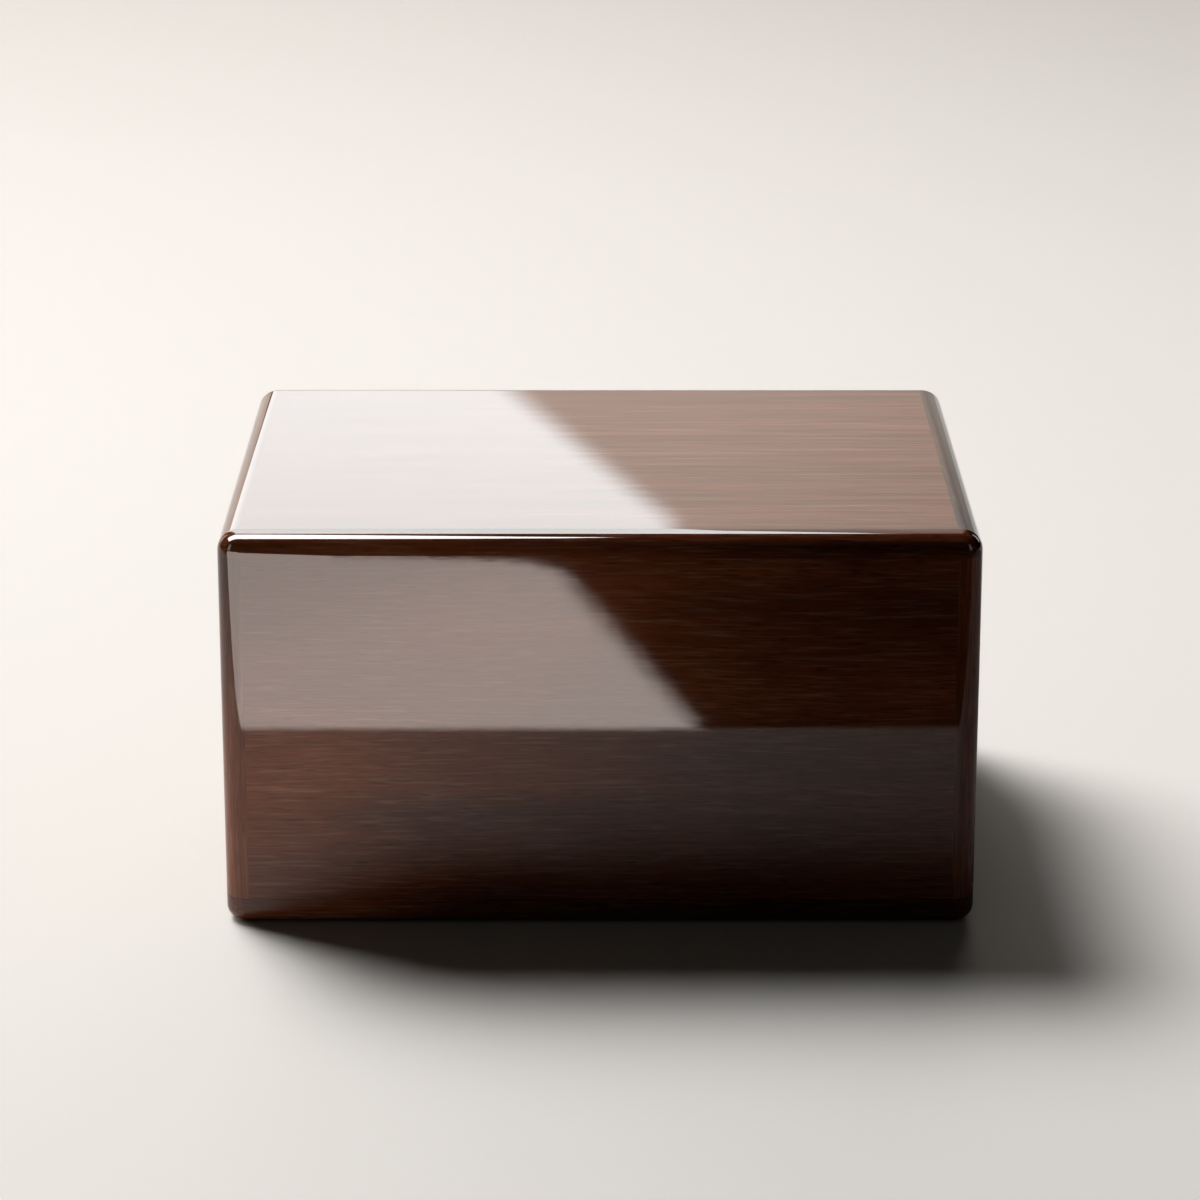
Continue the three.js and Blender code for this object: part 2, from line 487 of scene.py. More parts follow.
def cut_away(bm, point, normal):
    """Cuts a closed convex mesh with a plane, drops what lies in front of it and closes the cut."""
    bmesh.ops.bisect_plane(
        bm, geom=bm.verts[:] + bm.edges[:] + bm.faces[:], dist=CUT_TOLERANCE,
        plane_co=point, plane_no=normal, clear_outer=True,
    )
    rim = [edge for edge in bm.edges if edge.is_boundary]
    bmesh.ops.edgeloop_fill(bm, edges=rim)


def cut_board(blank, planes):
    """A board cut from a blank by planes, each a point and the direction that is cut away."""
    bm = bmesh.new()
    bm.from_mesh(blank)
    for point, normal in planes:
        cut_away(bm, point, normal)
    bmesh.ops.remove_doubles(bm, verts=bm.verts[:], dist=CUT_TOLERANCE)
    bmesh.ops.recalc_face_normals(bm, faces=bm.faces[:])
    board = bpy.data.meshes.new("board")
    bm.to_mesh(board)
    bm.free()
    board.materials.append(blank.materials[0])
    return board


def limit(way, reach):
    """A plane square to an axis, that far along it."""
    return way * reach, way


def mitre(way, reach, face, face_reach):
    """A 45 degree plane through the line where the two reaches meet, leaving what lies behind the face."""
    return way * reach + face * face_reach, (way - face).normalized()


def panel_planes(face, face_reach, sides, square_side=None):
    """Planes of a panel: square edges as deep as the strips, then mitres, except along a square side."""
    planes = [limit(-face, PANEL_THICKNESS - face_reach)]
    for way, reach in sides:
        planes.append(limit(way, reach))
        planes.append(mitre(way, reach, face, face_reach - STRIP_SIDE))
    if square_side:
        planes.append(limit(*square_side))
    return planes


def upright_panel_planes(face, face_reach, across, across_reach):
    """Planes of a wall panel, which stands on the base board."""
    sides = [(across, across_reach), (-across, across_reach), (Z, PANEL_TOP)]
    return panel_planes(face, face_reach, sides, (-Z, -BASE_THICKNESS))


def top_panel_planes():
    """Planes of the top panel, mitred all round."""
    ends = [(X, PANEL_HALF_WIDTH), (-X, PANEL_HALF_WIDTH)]
    faces = [(Y, PANEL_HALF_DEPTH), (-Y, PANEL_HALF_DEPTH)]
    return panel_planes(Z, HEIGHT, ends + faces)


def corner_strip_planes(side_x, side_y):
    """Planes of an upright strip at one corner."""
    return [
        limit(-side_x * X, -PANEL_HALF_WIDTH),
        limit(-side_y * Y, -PANEL_HALF_DEPTH),
        limit(Z, PANEL_TOP),
        limit(-Z, -BASE_THICKNESS),
    ]


def top_strip_planes(face, face_reach, across, across_reach):
    """Planes of a strip along one top edge, mitred at both ends."""
    return [
        limit(-face, STRIP_SIDE - face_reach),
        limit(-Z, -PANEL_TOP),
        mitre(across, across_reach, face, face_reach),
        mitre(-across, across_reach, face, face_reach),
    ]


# Walnut under lacquer

# Layers of the figure: length along the grain and width across it in millimetres, octaves, share of tone
CLOUD_LAYERS = {"cloud": (90.0, 40.0, 1.0, 1.0), "band": (240.0, 14.0, 2.0, 0.7)}
LINE_LAYERS = {"line": (130.0, 2.2, 2.0, 0.28), "streak": (14.0, 1.1, 2.0, 0.26)}

# Noises of one layer: length and width in millimetres, octaves
WARP_NOISE = (190.0, 60.0, 1.0)
PALE_LINE_NOISE = (20.0, 1.0, 2.0)
PORE_NOISE = (7.0, 0.5, 0.0)
SWELL_NOISE = (70.0, 40.0, 0.0)
PEEL_NOISE = (5.0, 5.0, 0.0)
NOISE_ROUGHNESS = 0.55
NOISE_MIDDLE = 0.5

# How far the warp bends the grain in millimetres, and the noise at which pores begin and are deepest
WARP_SHIFT = 7.0
PORE_FROM, PORE_FULL = 0.58, 0.74

# Shares in the lacquer's relief
LINE_RELIEF, SWELL_RELIEF, PEEL_RELIEF = 0.36, 1.6, 0.45

WOOD_ROUGHNESS = 0.5
LACQUER_IOR = 1.5

# Tones of the dark grain, the body and the light grain
TONE_DARK, TONE_MIDDLE, TONE_LIGHT = 0.0, 0.5, 1.0

# Figure and painted shading of each board: shift in millimetres, tone, and how strong its clouds and lines
# are and how long. The tones of the top, the front and the base board are partly the wood's own and partly
# painted light and shade.
BOARD_FIGURES_AND_PAINTED_SHADING = {
    # The top's high tone is painted light: the top is made lighter because it faces the light.
    "top_panel": {"shift": (40.0, 15.0, 0.0), "tone": 0.56, "clouds": 0.2, "lines": 2.2, "stretch": 3.0},
    # The front's low tone is painted shade, and its shift puts the figure's dark clouds on its right half
    # as painted shade.
    "front_panel": {"shift": (1931.0, 255.0, 664.0), "tone": 0.41, "clouds": 0.6},
    "back_panel": {"shift": (900.0, 30.0, 62.0), "tone": 0.32, "clouds": 0.6, "lines": 0.6},
    "left_end_panel": {"shift": (150.0, 420.0, 8.0), "tone": 0.30, "clouds": 0.6, "lines": 0.6},
    "right_end_panel": {"shift": (620.0, 210.0, 77.0), "tone": 0.40, "clouds": 0.8, "lines": 0.8},
    # The base board's low tone is painted shade at the chest's foot.
    "base_board": {"shift": (55.0, 240.0, 120.0), "tone": 0.28},
}

# Figure of the strips: each is shifted one step on from the last, and some are darker than the rest, as
# painted shade
STRIP_SHIFT_START, STRIP_SHIFT_STEP = Vector((0.0, 23.0, 0.0)), Vector((170.0, 57.0, 31.0))
STRIP_CLOUDS = 0.6
STRIP_TONE = 0.42
SHADED_STRIP_TONES = {
    "top_strip_back": 0.34,
    # The right top strip's tone of nought is painted shade along the top's right side.
    "top_strip_right": 0.0,
    "corner_strip_front_left": 0.34,
    "corner_strip_back_left": 0.34,
    "corner_strip_back_right": 0.34,
}

# Turns that bring the direction of the grain to X
GRAIN_TURNS = {
    "X": (0.0, 0.0, 0.0),
    "Y": (0.0, 0.0, -math.pi / 2),
    "Z": (0.0, math.pi / 2, 0.0),
}


def stretched_noise(tree, maths, point, length, width, octaves):
    """Noise drawn out along X."""
    place = maths.vector("MULTIPLY", point, (1 / length, 1 / width, 1 / width))
    inputs = {"Vector": place, "Scale": 1.0, "Detail": octaves, "Roughness": NOISE_ROUGHNESS}
    return add_node(tree, "ShaderNodeTexNoise", inputs).outputs


def layered(tree, maths, point, layers):
    """Sum of stretched noises, each centred on zero and weighed by its share."""
    total = 0.0
    for length, width, octaves, share in layers.values():
        noise = stretched_noise(tree, maths, point, length, width, octaves)["Fac"]
        centred = maths.number("SUBTRACT", noise, NOISE_MIDDLE)
        total = maths.number("MULTIPLY_ADD", centred, share, total)
    return total


def colour_ramp(tree, share, stops):
    """Blends from colour to colour. Each stop is a share and the colour there."""
    ramp = add_node(tree, "ShaderNodeValToRGB", {"Fac": share})
    spots = ramp.color_ramp.elements
    spots[0].position, spots[1].position = stops[0][0], stops[-1][0]
    for position, _ in stops[1:-1]:
        spots.new(position)
    for spot, (_, colour) in zip(spots, stops):
        spot.color = (*colour, 1)
    return ramp.outputs["Color"]


def walnut_figure_tree(finish):
    """Colour of walnut and its relief in the lacquer, from a point in millimetres along the grain."""
    tree = bpy.data.node_groups.new("Walnut figure", "ShaderNodeTree")
    tree.interface.new_socket(name="Point", in_out="INPUT", socket_type="NodeSocketVector")
    for name in ("Tone", "Clouds", "Lines"):
        tree.interface.new_socket(name=name, in_out="INPUT", socket_type="NodeSocketFloat")
    tree.interface.new_socket(name="Colour", in_out="OUTPUT", socket_type="NodeSocketColor")
    tree.interface.new_socket(name="Relief", in_out="OUTPUT", socket_type="NodeSocketFloat")
    given = tree.nodes.new("NodeGroupInput").outputs
    maths = NodeMaths(tree)

    warp = stretched_noise(tree, maths, given["Point"], *WARP_NOISE)["Color"]
    sway = maths.vector("SUBTRACT", warp, (NOISE_MIDDLE, NOISE_MIDDLE, NOISE_MIDDLE))
    sway = maths.vector("MULTIPLY", sway, (0, WARP_SHIFT, WARP_SHIFT))
    point = maths.vector("ADD", given["Point"], sway)

    clouds = layered(tree, maths, point, CLOUD_LAYERS)
    lines = layered(tree, maths, point, LINE_LAYERS)
    tone = maths.number("MULTIPLY_ADD", clouds, given["Clouds"], given["Tone"])
    tone = maths.number("MULTIPLY_ADD", lines, given["Lines"], tone)
    stops = [(TONE_DARK, finish.dark_grain), (TONE_MIDDLE, finish.body), (TONE_LIGHT, finish.light_grain)]
    colour = colour_ramp(tree, tone, stops)

    pore_inputs = {
        "Value": stretched_noise(tree, maths, point, *PORE_NOISE)["Fac"],
        "From Min": PORE_FROM,
        "From Max": PORE_FULL,
        "To Min": 1.0,
        "To Max": 1.0 - finish.pore_depth,
    }
    pore_shade = add_node(tree, "ShaderNodeMapRange", pore_inputs).outputs[0]
    colour = maths.scaled(colour, pore_shade)
    pale_lines = stretched_noise(tree, maths, point, *PALE_LINE_NOISE)["Fac"]
    pale_share = maths.number("MAXIMUM", maths.number("SUBTRACT", pale_lines, NOISE_MIDDLE), 0.0)
    pale_share = maths.number("MULTIPLY", pale_share, given["Lines"])
    colour = maths.vector("ADD", colour, maths.scaled(finish.pale_lines, pale_share))

    relief = maths.number("MULTIPLY", lines, LINE_RELIEF)
    for noise, share in ((SWELL_NOISE, SWELL_RELIEF), (PEEL_NOISE, PEEL_RELIEF)):
        height = stretched_noise(tree, maths, given["Point"], *noise)["Fac"]
        relief = maths.number("MULTIPLY_ADD", height, share, relief)
    add_node(tree, "NodeGroupOutput", {"Colour": colour, "Relief": relief})
    return tree


def principled(name):
    """A new material and its principled shader."""
    material = bpy.data.materials.new(name)
    material.use_nodes = True
    return material, material.node_tree, material.node_tree.nodes["Principled BSDF"]


def walnut(name, grain, shift, tone, clouds=1.0, lines=1.0, stretch=1.0):
    """Lacquered walnut with its grain along an axis.

    The shift gives each board its own part of one figure, and the stretch draws it out along the grain.
    """
    finish = bpy.context.scene.urn_finish
    material, tree, shader = principled(name)
    scale = [1 / MM] * 3
    scale["XYZ".index(grain)] /= stretch
    mapping = {
        "Vector": add_node(tree, "ShaderNodeTexCoord").outputs["Object"],
        "Location": shift,
        "Rotation": GRAIN_TURNS[grain],
        "Scale": scale,
    }
    point = add_node(tree, "ShaderNodeMapping", mapping).outputs[0]
    figure_tree = bpy.data.node_groups.get("Walnut figure") or walnut_figure_tree(finish)
    figure_inputs = {"Point": point, "Tone": tone, "Clouds": clouds, "Lines": lines}
    figure = add_node(tree, "ShaderNodeGroup", figure_inputs, node_tree=figure_tree).outputs
    ripple_inputs = {"Height": figure["Relief"], "Distance": finish.ripple_height}
    shader_inputs = {
        "Base Color": figure["Colour"],
        "Roughness": WOOD_ROUGHNESS,
        "Specular IOR Level": 0.0,
        "Coat Weight": 1.0,
        "Coat Roughness": finish.lacquer_roughness,
        "Coat IOR": LACQUER_IOR,
        "Coat Normal": add_node(tree, "ShaderNodeBump", ripple_inputs).outputs[0],
    }
    feed(tree, shader, shader_inputs)
    return material


# Size of the flecks as a noise scale, their height, and the noise at which they are darkest and lightest
FLECK_SCALE, FLECK_OCTAVES, FLECK_HEIGHT = 900.0, 3.0, 0.01 * MM
FLECK_DARK, FLECK_LIGHT = 0.3, 0.7
BRASS_ROUGHNESS = 0.34


def screw_brass():
    """Brass with fine flecks."""
    finish = bpy.context.scene.urn_finish
    material, tree, shader = principled("screw_brass")
    place = add_node(tree, "ShaderNodeTexCoord").outputs["Object"]
    noise_inputs = {"Vector": place, "Scale": FLECK_SCALE, "Detail": FLECK_OCTAVES}
    flecks = add_node(tree, "ShaderNodeTexNoise", noise_inputs).outputs["Fac"]
    stops = [(FLECK_DARK, finish.dark_brass), (FLECK_LIGHT, finish.light_brass)]
    bump_inputs = {"Height": flecks, "Distance": FLECK_HEIGHT}
    shader_inputs = {
        "Base Color": colour_ramp(tree, flecks, stops),
        "Metallic": 1.0,
        "Roughness": BRASS_ROUGHNESS,
        "Normal": add_node(tree, "ShaderNodeBump", bump_inputs).outputs[0],
    }
    feed(tree, shader, shader_inputs)
    return material


# Pieces


def add_piece(name, mesh, nodes):
    """Puts a finished mesh into the scene in place of its solids."""
    mesh.name = name
    piece = linked_object(name, mesh)
    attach(piece, "root")
    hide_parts(*nodes)


def chest_form(sizes):
    """The chest's outer form, rounded alike along its upright and top edges."""
    return RoundedForm(HEIGHT, sizes.edge_radius, sizes.edge_radius, sizes.edge_facets)


def turned_solid(bm, profile, centre, sides):
    """Adds a closed solid turned about an upright axis, with a flat face at each end of its profile."""
    rings = []
    for radius, height in profile:
        ring = []
        for step in range(sides):
            angle = 2 * math.pi * step / sides
            place = Vector((radius * math.cos(angle), radius * math.sin(angle), height))
            ring.append(bm.verts.new(centre + place))
        rings.append(ring)
    bm.faces.new(reversed(rings[0]))
    bm.faces.new(rings[-1])
    for lower, upper in zip(rings, rings[1:]):
        for step in range(sides):
            after = (step + 1) % sides
            bm.faces.new((lower[step], lower[after], upper[after], upper[step]))


SCREW_SIDES = 40


def screw_holes(sizes):
    """Cutters for the four countersunk holes in one mesh."""
    mouth = SCREW_HEAD_RADIUS + sizes.screw_clearance
    bore = sizes.screw_shank_radius + sizes.screw_clearance
    seat = SCREW_SINK + sizes.screw_head_rim
    end = SCREW_SINK + SCREW_LENGTH + sizes.screw_clearance
    profile = [(mouth, -SCREW_SINK), (mouth, seat), (bore, seat + mouth - bore), (bore, end)]
    bm = bmesh.new()
    for side_x in (-1, 1):
        for side_y in (-1, 1):
            centre = Vector((side_x * SCREW_X, side_y * SCREW_Y, 0))
            turned_solid(bm, profile, centre, SCREW_SIDES)
    bmesh.ops.recalc_face_normals(bm, faces=bm.faces[:])
    cutter = bpy.data.meshes.new("screw holes")
    bm.to_mesh(cutter)
    bm.free()
    return cutter


def drilled(board, sizes):
    """The board with the screw holes cut out of it."""
    cutter = linked_object("screw holes", screw_holes(sizes))
    holder = linked_object("drilled board", board)
    cut = holder.modifiers.new("Screw holes", "BOOLEAN")
    cut.operation = "DIFFERENCE"
    cut.solver = "EXACT"
    cut.object = cutter
    mesh = evaluated_mesh(holder)
    bpy.data.objects.remove(cutter)
    return mesh


def cut_and_add(form, name, planes, material, drill_sizes=None):
    """Cuts one board from the form, drills it if sizes are given, and puts it into the scene."""
    mesh = cut_board(form.mesh(material), planes)
    if drill_sizes:
        mesh = drilled(mesh, drill_sizes)
    form.shade(mesh)
    add_piece(name, mesh, [name])


class URN_OT_panels(bpy.types.Operator):
    """Make the five veneered panels"""

    bl_idname = "urn_chest.panels"
    bl_label = "Panels"

    def execute(self, context):
        sizes = context.scene.urn_sizes
        form = chest_form(sizes)
        front = upright_panel_planes(-Y, HALF_DEPTH, X, PANEL_HALF_WIDTH)
        back = upright_panel_planes(Y, HALF_DEPTH, X, PANEL_HALF_WIDTH)
        left = upright_panel_planes(-X, HALF_WIDTH, Y, PANEL_HALF_DEPTH)
        right = upright_panel_planes(X, HALF_WIDTH, Y, PANEL_HALF_DEPTH)
        # The base screws reach into the front and the back
        boards = {
            "top_panel": (top_panel_planes(), "X", None),
            "front_panel": (front, "X", sizes),
            "back_panel": (back, "X", sizes),
            "left_end_panel": (left, "Y", None),
            "right_end_panel": (right, "Y", None),
        }
        for name, (planes, grain, drill_sizes) in boards.items():
            material = walnut("lacquered_" + name, grain, **BOARD_FIGURES_AND_PAINTED_SHADING[name])
            cut_and_add(form, name, planes, material, drill_sizes)
        return {"FINISHED"}


class URN_OT_edge_strips(bpy.types.Operator):
    """Make the upright corner strips and the strips round the top"""

    bl_idname = "urn_chest.edge_strips"
    bl_label = "Edge strips"

    def execute(self, context):
        form = chest_form(context.scene.urn_sizes)
        boards = {
            "top_strip_front": (top_strip_planes(-Y, HALF_DEPTH, X, HALF_WIDTH), "X"),
            "top_strip_back": (top_strip_planes(Y, HALF_DEPTH, X, HALF_WIDTH), "X"),
            "top_strip_left": (top_strip_planes(-X, HALF_WIDTH, Y, HALF_DEPTH), "Y"),
            "top_strip_right": (top_strip_planes(X, HALF_WIDTH, Y, HALF_DEPTH), "Y"),
            "corner_strip_front_left": (corner_strip_planes(-1, -1), "Z"),
            "corner_strip_front_right": (corner_strip_planes(1, -1), "Z"),
            "corner_strip_back_left": (corner_strip_planes(-1, 1), "Z"),
            "corner_strip_back_right": (corner_strip_planes(1, 1), "Z"),
        }
        for number, (name, (planes, grain)) in enumerate(boards.items()):
            shift = STRIP_SHIFT_START + number * STRIP_SHIFT_STEP
            # Strips in the table of painted shade take their darker tone.
            tone = SHADED_STRIP_TONES.get(name, STRIP_TONE)
            material = walnut("lacquered_" + name, grain, shift, tone, STRIP_CLOUDS)
            cut_and_add(form, name, planes, material)
        return {"FINISHED"}


class URN_OT_base_board(bpy.types.Operator):
    """Make the base board with its countersunk holes"""

    bl_idname = "urn_chest.base_board"
    bl_label = "Base board"

    def execute(self, context):
        sizes = context.scene.urn_sizes
        blank_height = 2 * BASE_THICKNESS + 2 * sizes.base_edge_radius
        form = RoundedForm(blank_height, sizes.edge_radius, sizes.base_edge_radius, sizes.edge_facets)
        planes = [limit(Z, BASE_THICKNESS - sizes.base_seam)]
        material = walnut("lacquered_base_board", "X", **BOARD_FIGURES_AND_PAINTED_SHADING["base_board"])
        cut_and_add(form, "base_board", planes, material, sizes)
        return {"FINISHED"}


# Rings from a screw's head to its tip, the tip's share of the shank radius, and the angle of a sharp edge
SCREW_RINGS = 4
SCREW_TIP_SHARE = 0.1
SHARP_ANGLE = math.radians(30)


def ring_value(tree, ring, values):
    """Picks one value for each ring of a turned shape."""
    switch = add_node(tree, "GeometryNodeIndexSwitch", data_type="FLOAT")
    while len(switch.index_switch_items) < len(values):
        switch.index_switch_items.new()
    feed(tree, switch, {"Index": ring})
    feed(tree, switch, {str(number): value for number, value in enumerate(values)})
    return switch.outputs[0]


def base_screws_tree():
    """Countersunk screws on the corners of a rectangle, with a cross recess in each head."""
    lengths = (
        "Spacing X", "Spacing Y", "Sink", "Head radius", "Head rim", "Shank radius", "Length",
        "Point length", "Recess length", "Recess width", "Recess depth",
    )
    sockets = {**dict.fromkeys(lengths, "NodeSocketFloat"), "Material": "NodeSocketMaterial"}
    tree, given = new_geometry_tree("Base screws", sockets)
    maths = NodeMaths(tree)
    head, shank = given["Head radius"], given["Shank radius"]

    stock_inputs = {"Vertices": SCREW_SIDES, "Side Segments": SCREW_RINGS, "Radius": 1.0, "Depth": 1.0}
    stock = add_node(tree, "GeometryNodeMeshCylinder", stock_inputs).outputs["Mesh"]
    point = add_node(tree, "GeometryNodeInputPosition").outputs[0]
    across_x, across_y, up = maths.split(point)
    ring = maths.number("MULTIPLY", maths.number("ADD", up, 0.5), float(SCREW_RINGS))
    ring = maths.number("ROUND", ring)
    neck = maths.number("ADD", given["Head rim"], maths.number("SUBTRACT", head, shank))
    shoulder = maths.number("SUBTRACT", given["Length"], given["Point length"])
    tip = maths.number("MULTIPLY", shank, SCREW_TIP_SHARE)
    radius = ring_value(tree, ring, [head, head, shank, shank, tip])
    height = ring_value(tree, ring, [0.0, given["Head rim"], neck, shoulder, given["Length"]])
    turned_x = maths.number("MULTIPLY", across_x, radius)
    turned_y = maths.number("MULTIPLY", across_y, radius)
    blank = moved(tree, stock, {"Position": maths.joined(turned_x, turned_y, height)})

    twice_depth = maths.number("MULTIPLY", given["Recess depth"], 2.0)
    arm_x = maths.joined(given["Recess length"], given["Recess width"], twice_depth)
    arm_y = maths.joined(given["Recess width"], given["Recess length"], twice_depth)
    recess = {"operation": "DIFFERENCE", "solver": "EXACT"}
    recessed = add_node(tree, "GeometryNodeMeshBoolean", {"Mesh 1": blank}, **recess)
    for arm in (arm_x, arm_y):
        cutter = add_node(tree, "GeometryNodeMeshCube", {"Size": arm})
        feed(tree, recessed, {"Mesh 2": cutter.outputs["Mesh"]})
    smooth_inputs = {"Geometry": recessed.outputs["Mesh"]}
    smooth = add_node(tree, "GeometryNodeSetShadeSmooth", smooth_inputs).outputs[0]
    edge_angle = add_node(tree, "GeometryNodeInputMeshEdgeAngle").outputs["Unsigned Angle"]
    sharp_inputs = {"A": edge_angle, "B": SHARP_ANGLE}
    sharp = add_node(tree, "FunctionNodeCompare", sharp_inputs, operation="GREATER_THAN").outputs[0]
    crease_inputs = {"Geometry": smooth, "Selection": sharp, "Shade Smooth": False}
    screw = add_node(tree, "GeometryNodeSetShadeSmooth", crease_inputs, domain="EDGE").outputs[0]

    spacing = {"Size X": given["Spacing X"], "Size Y": given["Spacing Y"], "Vertices X": 2, "Vertices Y": 2}
    corners = add_node(tree, "GeometryNodeMeshGrid", spacing).outputs["Mesh"]
    sunk = moved(tree, corners, {"Offset": maths.joined(0.0, 0.0, given["Sink"])})
    screws = add_node(tree, "GeometryNodeInstanceOnPoints", {"Points": sunk, "Instance": screw}).outputs[0]
    end_geometry_tree(tree, screws, given["Material"])
    return tree


class URN_OT_base_screws(bpy.types.Operator):
    """Make the four countersunk screws that hold the base board"""

    bl_idname = "urn_chest.base_screws"
    bl_label = "Base screws"

    def execute(self, context):
        sizes = context.scene.urn_sizes
        values = {
            "Spacing X": 2 * SCREW_X,
            "Spacing Y": 2 * SCREW_Y,
            "Sink": SCREW_SINK,
            "Head radius": SCREW_HEAD_RADIUS,
            "Head rim": sizes.screw_head_rim,
            "Shank radius": sizes.screw_shank_radius,
            "Length": SCREW_LENGTH,
            "Point length": sizes.screw_point_length,
            "Recess length": sizes.recess_length,
            "Recess width": sizes.recess_width,
            "Recess depth": sizes.recess_depth,
            "Material": screw_brass(),
        }
        mesh = mesh_from_tree(base_screws_tree(), values)
        nodes = [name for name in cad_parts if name.startswith("base_screw")]
        add_piece("base_screws", mesh, nodes)
        return {"FINISHED"}


# Stage, in metres

FLOOR_REACH = 9.0

# The lacquer mirrors the floor up to this line in front of the chest, and the low soft box beyond it
FLOOR_SPLIT_Y = -0.331

# Strips along that line: how far they lie before it, bright and faded, and how far they fade behind it
SPLIT_LAP, SPLIT_FADED_LAP, SPLIT_BLUR = 0.002, 0.003, 0.010

# Planes of the cards that the lacquer mirrors
SIDE_CARD_X = 1.3
LOW_CARD_Y = -1.0
BACK_CARD_Y, HIGH_CARD_Y = 1.107, 1.108
BACK_WALL_Y, HIGH_WALL_Y = 2.2, 2.202
TOP_CARD_Z = 2.0
SPLIT_CARD_Z, SHADE_CARD_Z = 0.0006, 0.001

# Light of the cards
LOW_GLOW = (6.55, 5.75, 5.30)
SIDE_GLOW, DIM_SIDE_GLOW = (2.2, 2.25, 2.25), (0.8, 0.82, 0.82)
NO_GLOW = (0.0, 0.0, 0.0)
SHADE_COVER = 0.8


def show_only_in_gloss(card):
    """A card that only reflections see."""
    card.visible_camera = False
    card.visible_diffuse = False
    card.visible_transmission = False
    card.visible_volume_scatter = False
    card.visible_shadow = False


def glow(name, radiance, cover):
    """Plain light of a card, which turns clear where the mesh's own glow attribute fades.

    The card stays dark to light that has met a matt surface, so it shows only in the lacquer.
    """
    material = bpy.data.materials.new(name)
    material.use_nodes = True
    tree = material.node_tree
    tree.nodes.clear()
    share = add_node(tree, "ShaderNodeAttribute", attribute_name="glow").outputs["Fac"]
    fade = {"Value": share, "To Max": cover}
    eased = add_node(tree, "ShaderNodeMapRange", fade, interpolation_type="SMOOTHSTEP").outputs[0]
    matt_bounces = add_node(tree, "ShaderNodeLightPath").outputs["Diffuse Depth"]
    straight = NodeMaths(tree).number("LESS_THAN", matt_bounces, 1.0)
    gain = add_node(tree, "ShaderNodeAttribute", attribute_name="gain").outputs["Fac"]
    strength = NodeMaths(tree).number("MULTIPLY", straight, gain)
    peak = max(radiance) or 1.0
    colour = tuple(part / peak for part in radiance)
    clear = add_node(tree, "ShaderNodeBsdfTransparent").outputs[0]
    light = add_node(tree, "ShaderNodeEmission", {"Color": (*colour, 1), "Strength": strength}).outputs[0]
    mixed = add_node(tree, "ShaderNodeMixShader", {0: eased, 1: clear, 2: light}).outputs[0]
    add_node(tree, "ShaderNodeOutputMaterial", {"Surface": mixed})
    return material


def soft_card(name, plane, place, bright, faded, radiance, cover=1.0, gains=None):
    """A card of light, or of shade, that fades from its bright outline to its faded outline.

    A gain for each corner makes the light vary over the card.
    """
    count = len(bright)
    border = []
    for index in range(count):
        after = (index + 1) % count
        border.append((index, after, after + count, index + count))
    mesh = bpy.data.meshes.new(name)
    mesh.from_pydata(plane(place, [*bright, *faded]), [], [tuple(range(count)), *border])
    share = mesh.attributes.new("glow", "FLOAT", "POINT")
    share.data.foreach_set("value", [1.0] * count + [0.0] * count)
    strengths = [max(radiance) * gain for gain in gains or [1.0] * count]
    gain = mesh.attributes.new("gain", "FLOAT", "POINT")
    gain.data.foreach_set("value", strengths * 2)
    mesh.materials.append(glow(name, radiance, cover))
    card = linked_object(name, mesh)
    show_only_in_gloss(card)


def on_x(place_x, outline):
    """Corners of an upright card from (y, z) pairs."""
    return [(place_x, y, z) for y, z in outline]


def on_y(place_y, outline):
    """Corners of an upright card from (x, z) pairs."""
    return [(x, place_y, z) for x, z in outline]


def on_z(place_z, outline):
    """Corners of a level card from (x, y) pairs."""
    return [(x, y, place_z) for x, y in outline]


def along_split(left, right, before, behind):
    """Outline of a level strip along the floor's split, so far before it and behind it."""
    front, back = FLOOR_SPLIT_Y - before, FLOOR_SPLIT_Y + behind
    return [(left, front), (right, front), (right, back), (left, back)]


